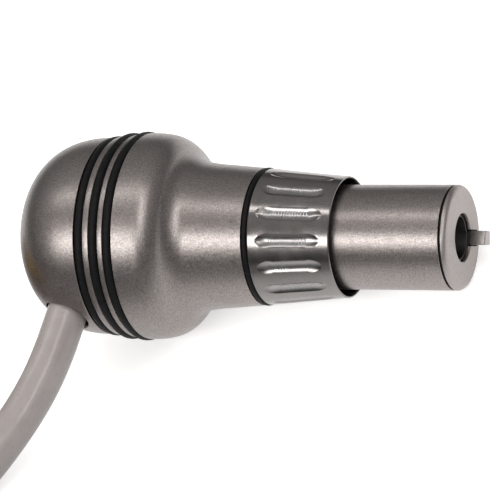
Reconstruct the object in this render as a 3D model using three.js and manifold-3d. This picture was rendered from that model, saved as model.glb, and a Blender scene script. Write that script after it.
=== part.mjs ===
// Pneumatic palm handpiece: a ball-shaped palm handle that telescopes over a
// sprung nose barrel, with a fluted stroke ring, an air hammer inside, and a
// clear air hose wound into a tied coil. Millimetres, +Z up.
//
// Tool stations are given as [s, r]: s runs along the tool axis towards the
// nose from the plane of the middle grip ring, r is the radius from the axis.
import * as THREE from 'three';
import { mergeVertices } from 'three/addons/utils/BufferGeometryUtils.js';
import Module from 'manifold-3d';

const wasm = await Module();
wasm.setup();

// ---------------------------------------------------------------- dimensions
const N_OUT = 30;                 // facets round the outer shells
const N_IN = 20;                  // facets round the inner pieces
const DOME = { s0: -2.94, r: 15.3, len: 14.1, m: 2.45 }; // superellipse rear dome
const GRIP = [                    // grip O-rings: station and outer radius
  ['grip_oring_rear', -2.58, 15.50],
  ['grip_oring_middle', 0.0, 16.00],
  ['grip_oring_front', 2.43, 16.18],
];
const GRIP_CORD = 0.66;           // half thickness of a grip O-ring
const NECK_RING = { s: 22.6, r: 10.56, cord: 0.42 };
const RING = { s0: 23.12, s1: 35.8, r0: 10.42, r1: 9.22, bore: 8.6 }; // fluted stroke ring
const FLUTES = 15, FLUTE_PHASE = 138.8, FLUTE = { s0: 24.25, s1: 34.45, cut: 1.0, lift: 0.62 };
const NOSE_R = 7.93;              // 5/8 in nose cylinder
const NOSE_REAR = 34.1, NOSE_FRONT = 52.6;
const FACE = 53.9;                // plane of the nose face
const SHOULDER = 0.9;             // rounding of the nose cap
const TOOL_BORE = 3.175;          // 1/4 in tool bore
const KEY = { deg: -45, in: 3.42, out: 5.9, width: 2.15, tip: 56.25 }; // anti-rotation key
const HOSE_R = 3.175, HOSE_BORE = 1.5875;   // 1/4 in by 1/8 in hose
const HOLE_R = 3.5;               // hose exit hole
const PALM_TRAVEL = 1.2, HAMMER_TRAVEL = 4.0;

// The handpiece lies nose down on the full part of its ball and its nose cap.
const BALL = [6, 15.78];          // station and radius of the contact on the ball
let tilt = 0.16;
for (let i = 0; i < 40; i++) tilt = Math.atan2(BALL[1] - (NOSE_R - SHOULDER) - SHOULDER / Math.cos(tilt), FACE - SHOULDER - BALL[0]);
const TILT = tilt;
const LIFT = BALL[0] * Math.sin(TILT) + BALL[1] * Math.cos(TILT);

// ------------------------------------------------------------------- helpers
function tidy(geometry) {
  // merges shared points, drops slivers at the axis, and faces the body outwards
  let g = geometry.clone();
  g.deleteAttribute('normal');
  g.deleteAttribute('uv');
  g = mergeVertices(g, 1e-4);
  const p = g.attributes.position.array, src = g.index.array, out = [];
  let volume = 0;
  for (let i = 0; i < src.length; i += 3) {
    const [a, b, c] = [src[i], src[i + 1], src[i + 2]];
    if (a === b || b === c || a === c) continue;
    const A = p.subarray(3 * a, 3 * a + 3), B = p.subarray(3 * b, 3 * b + 3), C = p.subarray(3 * c, 3 * c + 3);
    volume += A[0] * (B[1] * C[2] - B[2] * C[1]) - A[1] * (B[0] * C[2] - B[2] * C[0]) + A[2] * (B[0] * C[1] - B[1] * C[0]);
    out.push(a, b, c);
  }
  if (volume < 0) for (let i = 0; i < out.length; i += 3) [out[i], out[i + 1]] = [out[i + 1], out[i]];
  g.setIndex(out);
  return g;
}
function toManifold(g) {
  return new wasm.Manifold(new wasm.Mesh({
    numProp: 3,
    vertProperties: new Float32Array(g.attributes.position.array),
    triVerts: new Uint32Array(g.index.array),
  }));
}
function fromManifold(m) {
  const mesh = m.getMesh();
  const g = new THREE.BufferGeometry();
  g.setAttribute('position', new THREE.BufferAttribute(new Float32Array(mesh.vertProperties), 3));
  g.setIndex(new THREE.BufferAttribute(new Uint32Array(mesh.triVerts), 1));
  return g;
}
function cut(g, ...tools) {
  let m = toManifold(g);
  for (const t of tools) m = m.subtract(toManifold(t));
  return fromManifold(m);
}
function turned(profile, n = N_OUT, closed = true) {
  // body of revolution about the tool axis (+X); closed profiles are rings
  const pts = profile.map(([s, r]) => new THREE.Vector2(r, s));
  if (closed) pts.push(pts[0].clone());
  const g = new THREE.LatheGeometry(pts, n);
  g.rotateZ(-Math.PI / 2);
  return tidy(g);
}
const solidTurned = (profile, n) => turned(profile, n, false); // starts and ends on the axis
function oring(s, R, cord, n = N_OUT, sides = 6) {
  const prof = [];
  for (let i = 0; i < sides; i++) {
    const t = (2 * Math.PI * (i + 0.5)) / sides;
    prof.push([s + cord * Math.cos(t), R + cord * Math.sin(t)]);
  }
  return turned(prof, n);
}
function coilSpring(s0, s1, R, wire, turns, perTurn = 12, sides = 4) {
  // round wire spring along the tool axis
  class Helix extends THREE.Curve {
    getPoint(t) {
      const a = 2 * Math.PI * turns * t;
      return new THREE.Vector3(s0 + wire + (s1 - s0 - 2 * wire) * t, R * Math.cos(a), R * Math.sin(a));
    }
  }
  const shape = new THREE.Shape();
  for (let i = 0; i < sides; i++) {
    const t = (2 * Math.PI * i) / sides;
    if (i) shape.lineTo(wire * Math.cos(t), wire * Math.sin(t)); else shape.moveTo(wire * Math.cos(t), wire * Math.sin(t));
  }
  shape.closePath();
  return tidy(new THREE.ExtrudeGeometry(shape, { steps: Math.round(turns * perTurn), extrudePath: new Helix(), bevelEnabled: false }));
}
function rod(from, dir, radius, length, sides = 16) {
  // straight cylinder from a point along a direction
  const g = new THREE.CylinderGeometry(radius, radius, length, sides);
  g.translate(0, length / 2, 0);
  g.applyQuaternion(new THREE.Quaternion().setFromUnitVectors(new THREE.Vector3(0, 1, 0), dir.clone().normalize()));
  g.translate(from.x, from.y, from.z);
  return tidy(g);
}
function tubeAlong(points, outer, inner, sides, steps) {
  // hose along a smooth line of points; inner 0 gives a plain cord
  const curve = new THREE.CatmullRomCurve3(points, false, 'centripetal');
  curve.arcLengthDivisions = 2000;
  const circle = (r) => { const a = []; for (let i = 0; i < sides; i++) { const t = (2 * Math.PI * i) / sides; a.push(new THREE.Vector2(r * Math.cos(t), r * Math.sin(t))); } return a; };
  const shape = new THREE.Shape(circle(outer));
  if (inner) shape.holes.push(new THREE.Path(circle(inner).reverse()));
  return tidy(new THREE.ExtrudeGeometry(shape, { steps, extrudePath: curve, bevelEnabled: false }));
}
const FINISH = {
  blasted: [0x8f8681, 0.5, 0.85], polished: [0xb9b6b2, 0.18, 1.0], rubber: [0x161517, 0.62, 0.0],
  steel: [0xa9a7a4, 0.28, 1.0], brass: [0xb48a45, 0.3, 1.0], bronze: [0x9c6f3f, 0.4, 0.9], alloy: [0xb4b4b6, 0.38, 0.9],
  hose: [0xb3aaa7, 0.25, 0.0], strap: [0x1b1b1d, 0.8, 0.0], ptfe: [0xdedcd4, 0.5, 0.0],
};
const tool = new THREE.Group();   // everything set out along the tool axis
const floor = new THREE.Group();  // everything set out on the resting surface
function add(parent, name, geometry, finish) {
  const [color, roughness, metalness] = FINISH[finish];
  const mesh = new THREE.Mesh(geometry, new THREE.MeshStandardMaterial({ color, roughness, metalness }));
  mesh.name = name;
  parent.add(mesh);
  return mesh;
}

// ---------------------------------------------------------- hose exit direction
// Directions and points in the resting frame turn into the tool's own frame.
const deg = Math.PI / 180;
const EXIT_AZ = -103 * deg, EXIT_EL = -20 * deg;
const exitDir = new THREE.Vector3(Math.cos(EXIT_EL) * Math.cos(EXIT_AZ), Math.cos(EXIT_EL) * Math.sin(EXIT_AZ), Math.sin(EXIT_EL));
const exitPoint = new THREE.Vector3(-8.75, -14.03, 14.20);   // where the hose meets the dome's skin
const toTool = (v, isPoint) => {
  const w = v.clone();
  if (isPoint) w.z -= LIFT;
  return new THREE.Vector3(w.x * Math.cos(TILT) - w.z * Math.sin(TILT), w.y, w.x * Math.sin(TILT) + w.z * Math.cos(TILT));
};
const exitDirT = toTool(exitDir, false), exitPointT = toTool(exitPoint, true);

// --------------------------------------------------------------- palm handle
const domeR = (s) => DOME.r * Math.pow(Math.max(0, 1 - Math.pow(Math.abs((s - DOME.s0) / DOME.len), DOME.m)), 1 / DOME.m);
function groove(s, outerR) {   // rectangular O-ring groove
  const w = 0.78, floorR = outerR - 2 * GRIP_CORD - 0.12;
  return { a: s - w, b: s + w, r: floorR };
}
{
  const g0 = groove(GRIP[0][1], GRIP[0][2]), g1 = groove(GRIP[1][1], GRIP[1][2]);
  const outer = [[-17.04, 0], [-16.9, 2.6], [-16.5, 4.9], [-15.9, 7.1], [-15, 9.25], [-13.7, 11.2], [-12, 12.8], [-10, 13.98], [-7.8, 14.75], [-5.6, 15.17], [g0.a, domeR(g0.a) + 0.02]];
  const profile = [
    ...outer, [g0.a, g0.r], [g0.b, g0.r], [g0.b, 15.42], [g1.a, 15.52], [g1.a, g1.r], [-0.15, g1.r],
    [-0.15, 13.2], [-2.7, 13.2], [-2.7, 12.0], [-9.2, 12.0], [-11, 10.9], [-13.0, 9.1], [-13.6, 7.0], [-13.6, 0],
  ];
  const dome = solidTurned(profile, N_OUT);
  const hole = rod(exitPointT.clone().addScaledVector(exitDirT, -5.5), exitDirT, HOLE_R, 12, 20);
  add(tool, 'rear_dome', cut(dome, hole), 'blasted');
}
const BORE = 7.5;
const slotPins = [90, 270];
{
  const g1 = groove(GRIP[1][1], GRIP[1][2]), g2 = groove(GRIP[2][1], GRIP[2][2]);
  const profile = [
    [0.15, g1.r], [g1.b, g1.r], [g1.b, 15.68], [g2.a, 15.75], [g2.a, g2.r], [g2.b, g2.r], [g2.b, 15.95],
    [4.5, 15.93], [6, 15.78], [7.5, 15.43], [8.5, 14.86], [9.5, 13.985], [10.4, 12.85], [11.2, 12.2], [12.4, 11.55],
    [14.2, 11.2], [22.1, 10.5], [22.1, 9.6], [22.95, 9.6], [22.95, 8.3], [29.1, 8.3], [29.1, 7.95],
    [29.95, 7.95], [29.95, 8.3], [30.6, 8.3], [30.6, BORE], [3.0, BORE], [3.0, 9.2], [2.0, 11.3], [-2.4, 11.3], [-2.4, 12.9], [0.15, 12.9],
  ];
  const shell = turned(profile, N_OUT);
  // two axial slots in the front spigot let the stop pins through
  const slots = slotPins.map((a) => {
    const g = new THREE.BoxGeometry(2.5, 1.5, 3);
    g.translate(26.9, 0, 8.0);
    g.rotateX(-a * deg);
    return tidy(g);
  });
  add(tool, 'palm_shell', cut(shell, ...slots), 'blasted');
}
for (const [name, s, r] of GRIP) add(tool, name, oring(s, r - GRIP_CORD, GRIP_CORD), 'rubber');
add(tool, 'neck_oring', oring(NECK_RING.s, NECK_RING.r - NECK_RING.cord, NECK_RING.cord, N_OUT, 6), 'rubber');

// bearings in the handle bore
add(tool, 'rear_bush', turned([[1.95, 6.3], [1.95, 8.9], [2.7, 8.9], [2.7, 7.2], [10.5, 7.2], [10.5, 6.3]], N_IN), 'bronze');
add(tool, 'front_bush', turned([[18.5, 6.3], [18.5, 7.2], [23.5, 7.2], [23.5, 6.3]], N_IN), 'bronze');
add(tool, 'ring_clip', turned([[29.25, 8.12], [29.25, 8.95], [29.8, 8.95], [29.8, 8.12]], N_OUT), 'steel');
add(tool, 'wiper_ring', turned([[30.9, 6.35], [30.9, 8.3], [31.6, 8.3], [31.6, 6.35]], N_OUT), 'rubber');

// inlet block with the throttle chamber, fixed in the dome
{
  const block = turned([
    [-13.2, 1.3], [-13.2, 6.4], [-12.6, 8.6], [-11.6, 9.6], [-10.6, 10.2], [-10.2, 10.2], [-10.2, 9.0], [-4.4, 9.0], [-4.4, 1.4],
    [-8.3, 1.4], [-8.3, 3.0], [-12.7, 3.0], [-12.7, 1.3],
  ], N_IN);
  const port = rod(exitPointT.clone().addScaledVector(exitDirT, -7.0), exitDirT, 2.25, 6, 12);
  add(tool, 'inlet_block', cut(block, port), 'alloy');
}
{
  // brass barb: threaded shank in the block, flange, then the nipple inside the hose
  const pts = [[0, 0.6], [0, 1.9], [2.0, 1.9], [2.0, 1.25], [7.6, 1.25], [8.0, 1.0], [8.0, 0.6]].map(([y, r]) => new THREE.Vector2(r, y));
  pts.push(pts[0].clone());
  const g = new THREE.LatheGeometry(pts, 12);
  g.applyQuaternion(new THREE.Quaternion().setFromUnitVectors(new THREE.Vector3(0, 1, 0), exitDirT));
  const base = exitPointT.clone().addScaledVector(exitDirT, -6.6);
  g.translate(base.x, base.y, base.z);
  add(tool, 'hose_barb', tidy(g), 'brass');
}
// throttle valve
add(tool, 'valve_seal', turned([[-8.95, 1.5], [-8.95, 2.7], [-8.4, 2.7], [-8.4, 1.5]], N_IN), 'rubber');
add(tool, 'throttle_poppet', solidTurned([[-10.0, 0], [-10.0, 2.4], [-9.2, 2.4], [-9.2, 1.1], [0.25, 1.1], [0.25, 0]], 16), 'steel');
add(tool, 'throttle_spring', coilSpring(-12.6, -10.15, 1.9, 0.22, 3, 10), 'steel');

// ------------------------------------------------------------- sprung nose barrel
add(tool, 'barrel_head', turned([[0.5, 0.9], [0.5, 8.7], [1.65, 8.7], [1.65, 4.5], [3.6, 4.5], [3.6, 3.7], [4.8, 3.7], [4.8, 4.5], [6, 4.5], [6, 0.9]], N_IN), 'alloy');
add(tool, 'head_oring', oring(4.2, 4.25, 0.45, N_IN, 6), 'rubber');
add(tool, 'palm_spring', coilSpring(-4.15, 0.25, 6.6, 0.4, 3.25, 14, 5), 'steel');
{
  const body = turned([
    [1.95, 4.85], [1.95, 6.0], [NOSE_REAR - 0.9, 6.0], [NOSE_REAR - 0.9, 7.0], [NOSE_REAR, NOSE_R], [NOSE_FRONT - 0.15, NOSE_R], [NOSE_FRONT, NOSE_R - 0.15],
    [NOSE_FRONT, 6.95], [48.2, 6.95], [48.2, 4.85],
  ], N_OUT);
  add(tool, 'nose_body', body, 'blasted');
}
add(tool, 'seam_ring', turned([[52.7, 7.0], [52.7, 7.74], [53.0, 7.74], [53.0, 7.0]], N_OUT), 'rubber');
const keyRot = (g) => { g.rotateX(KEY.deg * deg); return g; };   // +Y turned to the key's side
{
  const s0 = FACE - SHOULDER, r0 = NOSE_R - SHOULDER, arc = [];
  for (let i = 1; i <= 4; i++) arc.push([s0 + SHOULDER * Math.sin((i * Math.PI) / 8), r0 + SHOULDER * Math.cos((i * Math.PI) / 8)]);
  const cap = turned([
    [53.1, 6.6], [53.1, NOSE_R - 0.05], [53.25, NOSE_R - 0.03], ...arc, [FACE, 3.62], [FACE - 0.25, 3.4], [53.65, 3.4], [53.6, 4.95], [48.6, 4.95], [48.6, 6.6],
  ], N_OUT);
  const pocket = new THREE.BoxGeometry(8, 3.3, KEY.width + 0.5);
  pocket.translate(FACE - 1.3, 3.1 + 1.65, 0);
  add(tool, 'nose_cap', cut(cap, tidy(keyRot(pocket))), 'blasted');
}
{
  // anti-rotation key: a flat steel tang standing out of the face
  const sh = new THREE.Shape();
  const top = KEY.tip, r = 0.45;
  sh.moveTo(50.0, 4.1); sh.lineTo(53.75, 4.1); sh.lineTo(53.75, KEY.in); sh.lineTo(top - r, KEY.in); sh.lineTo(top, KEY.in + r);
  sh.lineTo(top, KEY.out - r); sh.lineTo(top - r, KEY.out); sh.lineTo(50.0, KEY.out); sh.closePath();
  const g = new THREE.ExtrudeGeometry(sh, { depth: KEY.width, bevelEnabled: false });
  g.translate(0, 0, -KEY.width / 2);
  add(tool, 'index_key', tidy(keyRot(g)), 'polished');
}
add(tool, 'tool_socket', turned([[40.0, TOOL_BORE], [40.0, 4.6], [47.6, 4.6], [47.6, 3.8], [53.25, 3.8], [53.4, 3.65], [53.4, TOOL_BORE]], N_IN), 'steel');
add(tool, 'cushion_oring', oring(39.1, 4.2, 0.42, N_IN, 6), 'rubber');
add(tool, 'hammer', solidTurned([[12, 0], [12, 4.5], [14.3, 4.5], [14.3, 3.9], [15.9, 3.9], [15.9, 4.5], [30, 4.5], [30, 2.6], [37.6, 2.6], [38, 2.2], [38, 0]], N_IN), 'steel');
add(tool, 'piston_ring', turned([[14.5, 4.05], [14.5, 4.68], [15.7, 4.68], [15.7, 4.05]], N_IN), 'ptfe');
add(tool, 'hammer_spring', coilSpring(30.25, 38.4, 3.55, 0.3, 5, 10), 'steel');

// ---------------------------------------------------------------- stroke ring
{
  const taper = (s) => RING.r0 + ((s - RING.s0) / (RING.s1 - RING.s0)) * (RING.r1 - RING.r0);
  const ring = turned([
    [RING.s0, 8.95], [RING.s0, RING.r0 - 0.12], [RING.s0 + 0.12, RING.r0], [29.5, taper(29.5)], [RING.s1 - 0.1, taper(RING.s1 - 0.1)], [RING.s1, RING.r1 - 0.12],
    [RING.s1, 9.0], [RING.s1 - 0.5, 8.85], [30.2, 8.85], [30.2, 9.2], [28.95, 9.2], [28.95, RING.bore], [28.5, RING.bore], [28.5, 9.1], [25.6, 9.1], [25.6, RING.bore], [23.5, RING.bore],
  ], N_OUT);
  // boat-shaped flutes: a spindle lies just above the skin and cuts into it
  const cuts = [];
  const mid = (FLUTE.s0 + FLUTE.s1) / 2, slope = Math.atan2(RING.r1 - RING.r0, RING.s1 - RING.s0);
  for (let k = 0; k < FLUTES; k++) {
    const half = (FLUTE.s1 - FLUTE.s0) / 2;
    const pts = [[-half - 0.3, 0], [-half + 0.1, FLUTE.lift + 0.08], [-half + 1.4, 0.96], [half - 1.6, FLUTE.cut], [half - 0.1, FLUTE.lift + 0.05], [half + 0.3, 0]]
      .map(([s, r]) => new THREE.Vector2(r, s));
    const g = new THREE.LatheGeometry(pts, 8);
    g.rotateZ(-Math.PI / 2);
    g.rotateZ(slope);
    g.translate(mid, taper(mid) + FLUTE.lift, 0);
    g.rotateX((FLUTE_PHASE + (360 / FLUTES) * k) * deg);
    cuts.push(tidy(g));
  }
  add(tool, 'stroke_ring', cut(ring, ...cuts), 'polished');
}
{
  const collar = turned([[24.0, 6.3], [24.0, 7.2], [28.4, 7.2], [28.4, 6.3]], N_IN);
  const holes = slotPins.map((a) => {
    const g = new THREE.CylinderGeometry(0.85, 0.85, 2.4, 12);
    g.rotateX(Math.PI / 2);
    g.translate(26.3, 0, 6.9);
    g.rotateX(-a * deg);
    return tidy(g);
  });
  add(tool, 'stroke_stop', cut(collar, ...holes), 'bronze');
  slotPins.forEach((a, i) => {
    const g = new THREE.CylinderGeometry(0.55, 0.55, 2.4, 10);
    g.rotateX(Math.PI / 2);
    g.translate(26.3, 0, 7.6);
    g.rotateX(-a * deg);
    add(tool, i ? 'stop_pin_b' : 'stop_pin_a', tidy(g), 'steel');
  });
}

// --------------------------------------------------------------------- air hose
// The lead leaves the dome, comes down to the surface and runs tangent into a
// flat round coil: three turns side by side, three more on top of them, and
// the end lies up on top of the coil with the plug on it.
const COIL = { x: -71.275, y: -28.904, inner: 23.0, outer: 42.6, top: 12.85 };
const leadPts = [-3.6, -1.8, 0, 3.0, 6.0].map((k) => exitPoint.clone().addScaledVector(exitDir, k));
{
  // station along the hose (mm), heading and slope in degrees
  const key = [[6, -103, -20], [10, -112, -20], [16, -124, -20], [22, -131, -20.5], [27, -134, -19], [31, -136, -13], [35, -138, -6], [40, -139, 0], [61, -139, 0]];
  const at = (l) => {
    let i = 0;
    while (i < key.length - 2 && l > key[i + 1][0]) i++;
    const [l0, a0, e0] = key[i], [l1, a1, e1] = key[i + 1], t = Math.min(1, Math.max(0, (l - l0) / (l1 - l0)));
    return [a0 + (a1 - a0) * t, e0 + (e1 - e0) * t];
  };
  const run = (steep) => {
    const p = leadPts[4].clone(), line = [];
    for (let l = 6; l < 61; l += 0.5) {
      const [a, e] = at(l + 0.25), q = e * steep;
      p.add(new THREE.Vector3(Math.cos(q * deg) * Math.cos(a * deg), Math.cos(q * deg) * Math.sin(a * deg), Math.sin(q * deg)).multiplyScalar(0.5));
      if (Math.abs(((l + 0.5 - 6) % 5)) < 0.01) line.push(p.clone());
    }
    return line;
  };
  let lo = 0.5, hi = 1.5;
  for (let i = 0; i < 40; i++) { const m = (lo + hi) / 2; if (run(m).at(-1).z > HOSE_R + 0.05) lo = m; else hi = m; }
  leadPts.push(...run(lo));
}
add(floor, 'hose_lead', tubeAlong(leadPts, HOSE_R, HOSE_BORE, 10, 14), 'hose');
const TIE_DEG = 238;
const coilAt = (angle, r, z) => new THREE.Vector3(COIL.x + r * Math.cos(angle * deg), COIL.y + r * Math.sin(angle * deg), z);
{
  // outer shape of the six wound turns
  const pts = [[COIL.inner, 0.02], [COIL.outer, 0.02], [COIL.outer, COIL.top], [COIL.inner, COIL.top]].map(([r, z]) => new THREE.Vector2(r, z));
  pts.push(pts[0].clone());
  const g = new THREE.LatheGeometry(pts, 32);
  g.rotateX(Math.PI / 2);          // lathe axis to +Z
  g.translate(COIL.x, COIL.y, 0);
  const solid = tidy(g);
  // room for the lead where it runs in beside the outer turn, and for the tie underneath
  const fat = tubeAlong([...leadPts.slice(-8), leadPts.at(-1).clone().add(new THREE.Vector3(-0.7547, -0.6561, 0).multiplyScalar(1.2))], HOSE_R + 0.45, 0, 10, 9);
  const strap = new THREE.BoxGeometry(26, 9, 2.4);
  strap.translate(32.8, 0, 0);
  strap.rotateZ(TIE_DEG * deg);
  strap.translate(COIL.x, COIL.y, 0);
  add(floor, 'hose_coil', cut(solid, fat, tidy(strap)), 'hose');
}
const PLUG = { angle: 45, r: 36.0, heading: -62, z: 17.65 };
const plugAt = coilAt(PLUG.angle, PLUG.r, PLUG.z);
const plugDir = new THREE.Vector3(Math.cos(PLUG.heading * deg), Math.sin(PLUG.heading * deg), 0);
{
  const pts = [];
  // f is the angle wound since the lead came in; the end climbs clear of the top turn
  const ease = (x) => { const t = Math.min(1, Math.max(0, x)); return t * t * (3 - 2 * t); };
  for (let f = 1992; f <= 2052; f += 10) pts.push(coilAt(-49 - f, 39.2 - 3.2 * ease((f - 1955) / 105), 16.1 + 1.55 * ease((f - 1995) / 71)));
  pts.push(plugAt.clone(), plugAt.clone().addScaledVector(plugDir, 7.6));
  add(floor, 'hose_tail', tubeAlong(pts, HOSE_R, HOSE_BORE, 10, 12), 'hose');
}
const plugFrame = (g) => {           // local +Y is the plug's axis, from the hose outwards
  g.applyQuaternion(new THREE.Quaternion().setFromUnitVectors(new THREE.Vector3(0, 1, 0), plugDir));
  g.translate(plugAt.x, plugAt.y, plugAt.z);
  return tidy(g);
};
const ringOf = (pts, n) => { const v = pts.map(([y, r]) => new THREE.Vector2(r, y)); v.push(v[0].clone()); return new THREE.LatheGeometry(v, n); };
add(floor, 'plug_ferrule', plugFrame(ringOf([[0, 3.5], [0, 4.1], [0.5, 4.35], [8.2, 4.35], [8.2, 3.5]], 16)), 'brass');
{
  const hex = new THREE.CylinderGeometry(5.02, 5.02, 6.0, 6);
  hex.rotateY(Math.PI / 6);
  hex.translate(0, 11.6, 0);
  const stem = ringOf([[1.6, 0.7], [1.6, 1.25], [8.6, 1.25], [8.6, 3.1], [17.6, 3.1], [17.6, 2.55], [19.4, 2.55], [19.4, 3.1], [23.6, 3.1], [24.4, 2.5], [24.4, 0.7]], 16);
  const bore = new THREE.CylinderGeometry(0.7, 0.7, 40, 16);
  const m = toManifold(tidy(hex)).subtract(toManifold(tidy(new THREE.CylinderGeometry(2.0, 2.0, 10, 16).translate(0, 11.6, 0)))).add(toManifold(tidy(stem)));
  add(floor, 'plug_body', plugFrame(fromManifold(m)), 'brass');
  add(floor, 'plug_oring', plugFrame(ringOf([[17.85, 3.0], [18.15, 2.72], [18.85, 2.72], [19.15, 3.0], [18.95, 3.42], [18.05, 3.42]], 16)), 'rubber');
}
{
  // strap tie round the wound turns
  const inner = [[22.3, 0.9], [43.2, 0.9], [43.2, 13.25], [22.3, 13.25]];
  const outer = [[21.4, 0.2], [44.0, 0.2], [44.0, 14.1], [21.4, 14.1]];
  const sh = new THREE.Shape(outer.map(([r, z]) => new THREE.Vector2(r, z)));
  sh.holes.push(new THREE.Path(inner.map(([r, z]) => new THREE.Vector2(r, z)).reverse()));
  const g = new THREE.ExtrudeGeometry(sh, { depth: 7.5, bevelEnabled: false });
  g.translate(0, 0, -3.75);
  g.rotateX(Math.PI / 2);            // section stands upright, along +X
  g.rotateZ(TIE_DEG * deg);
  g.translate(COIL.x, COIL.y, 0);
  add(floor, 'hose_tie', tidy(g), 'strap');
}

// ------------------------------------------------------------------- assembly
tool.rotation.y = TILT;
tool.position.z = LIFT;
tool.updateMatrixWorld(true);
const rest = new THREE.Box3();
for (const m of tool.children) {
  const g = m.geometry.clone().applyMatrix4(m.matrixWorld);
  g.computeBoundingBox();
  rest.union(g.boundingBox);
}
tool.position.z -= rest.min.z;                       // stands exactly on the surface
const group = new THREE.Group();
group.position.x = -(rest.min.x + rest.max.x) / 2;   // origin under the middle of the handpiece
group.position.y = -(rest.min.y + rest.max.y) / 2;
group.add(tool, floor);
export default group;
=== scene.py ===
import math

import bmesh
import bpy
import numpy as np
from mathutils import Matrix, Vector


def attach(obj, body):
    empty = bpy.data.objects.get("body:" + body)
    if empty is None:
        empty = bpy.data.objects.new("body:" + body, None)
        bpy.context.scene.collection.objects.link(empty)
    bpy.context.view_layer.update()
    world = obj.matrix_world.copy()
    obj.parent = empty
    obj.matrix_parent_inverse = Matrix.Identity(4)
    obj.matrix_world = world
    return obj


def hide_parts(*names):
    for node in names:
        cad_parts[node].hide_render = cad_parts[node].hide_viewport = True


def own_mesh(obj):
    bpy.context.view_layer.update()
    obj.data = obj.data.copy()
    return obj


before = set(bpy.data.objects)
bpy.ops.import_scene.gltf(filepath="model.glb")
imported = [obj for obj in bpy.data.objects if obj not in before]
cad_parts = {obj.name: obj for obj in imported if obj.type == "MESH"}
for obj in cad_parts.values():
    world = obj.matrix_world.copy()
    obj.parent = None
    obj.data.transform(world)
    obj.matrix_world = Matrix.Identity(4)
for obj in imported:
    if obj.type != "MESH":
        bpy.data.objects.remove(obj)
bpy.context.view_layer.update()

# ------------------------------------------------------------------ the frame
# The tool's own axis: stations s run from the plane of the middle grip ring
# towards the nose, and the tool lies nose down on the surface at z = 0.
MM = 0.001
TILT = math.radians(9.467349989352456)
LIFT, SHIFT = 16.55198141317841, -19.030644416809082
CT, ST = math.cos(TILT), math.sin(TILT)
TOOL = Matrix(((CT, 0, ST, SHIFT * MM), (0, 1, 0, 0), (-ST, 0, CT, LIFT * MM), (0, 0, 0, 1)))
AXIS = Vector((CT, 0, -ST))


def row(s, y, z):
    return TOOL @ Vector((s * MM, y * MM, z * MM))


def to_tool(v, point=False):
    """A direction or a point (mm, before the shift along X) in the tool's own frame."""
    w = np.array(v, float)
    if point:
        w = w - np.array([0, 0, LIFT])
    return np.array([w[0] * CT - w[2] * ST, w[1], w[0] * ST + w[2] * CT])


# ----------------------------------------------------------------- the camera
a = np.array([0.92285476, -0.00649996, 0.38509328]); a /= np.linalg.norm(a)
P0 = np.array([-17.88700345, 2.18561125, 0.02299184])
e1 = np.array([0, 0, 1.0]) - a * a[2]; e1 /= np.linalg.norm(e1)
e2 = np.cross(a, e1)
u = (-e2 + e1) * math.sqrt(0.5)
n = CT * u - ST * a
X = a - n * (a @ n); X /= np.linalg.norm(X)
Y = np.cross(n, X)
T = np.stack([a, Y, np.cross(a, Y)])
RY = np.array([[CT, 0, ST], [0, 1, 0], [-ST, 0, CT]])
R = RY @ T
where = (R @ (np.array([0, 0, 543.2698]) - P0) + np.array([SHIFT, 0, LIFT])) * MM
camera = bpy.data.objects.new("camera", bpy.data.cameras.new("camera"))
bpy.context.scene.collection.objects.link(camera)
camera.matrix_world = Matrix([[*R[i], where[i]] for i in range(3)] + [[0, 0, 0, 1]])
camera.data.lens, camera.data.sensor_width = 252.0, 36.0
camera.data.clip_start, camera.data.clip_end = 0.01, 100
bpy.context.scene.camera = camera


# -------------------------------------------------------------- mesh building
def solid(name, verts, faces, mat, body, nodes=(), sharp=32, matrix=None, smooth=True):
    """A closed mesh that faces outwards, rides on a body, and stands for CAD nodes."""
    mesh = bpy.data.meshes.new(name)
    mesh.from_pydata([tuple(float(x) for x in v) for v in verts], [], [tuple(f) for f in faces])
    if matrix is not None:
        mesh.transform(matrix)
    bm = bmesh.new()
    bm.from_mesh(mesh)
    bmesh.ops.remove_doubles(bm, verts=bm.verts, dist=2e-7)
    bmesh.ops.dissolve_degenerate(bm, edges=bm.edges, dist=1e-7)
    bmesh.ops.recalc_face_normals(bm, faces=bm.faces)
    if bm.calc_volume(signed=True) < 0:
        bmesh.ops.reverse_faces(bm, faces=bm.faces)
    bm.to_mesh(mesh)
    bm.free()
    if smooth:
        mesh.shade_smooth()
        mesh.set_sharp_from_angle(angle=math.radians(sharp))
    ob = bpy.data.objects.new(name, mesh)
    bpy.context.scene.collection.objects.link(ob)
    mesh.materials.append(mat)
    if body:
        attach(ob, body)
    if nodes:
        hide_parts(*nodes)
    return ob


def carve(ob, cutters):
    """Cuts closed meshes out of ob with an exact boolean, applied."""
    for c in cutters:
        m = ob.modifiers.new("cut", "BOOLEAN")
        m.operation, m.solver, m.object = "DIFFERENCE", "EXACT", c
        dg = bpy.context.evaluated_depsgraph_get()
        made = bpy.data.meshes.new_from_object(ob.evaluated_get(dg), depsgraph=dg)
        ob.modifiers.clear()
        old, ob.data = ob.data, made
        made.name = ob.name
        bpy.data.meshes.remove(old)
    for c in cutters:
        bpy.data.objects.remove(c)
    ob.data.shade_smooth()
    ob.data.set_sharp_from_angle(angle=math.radians(28))
    return ob


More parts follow.
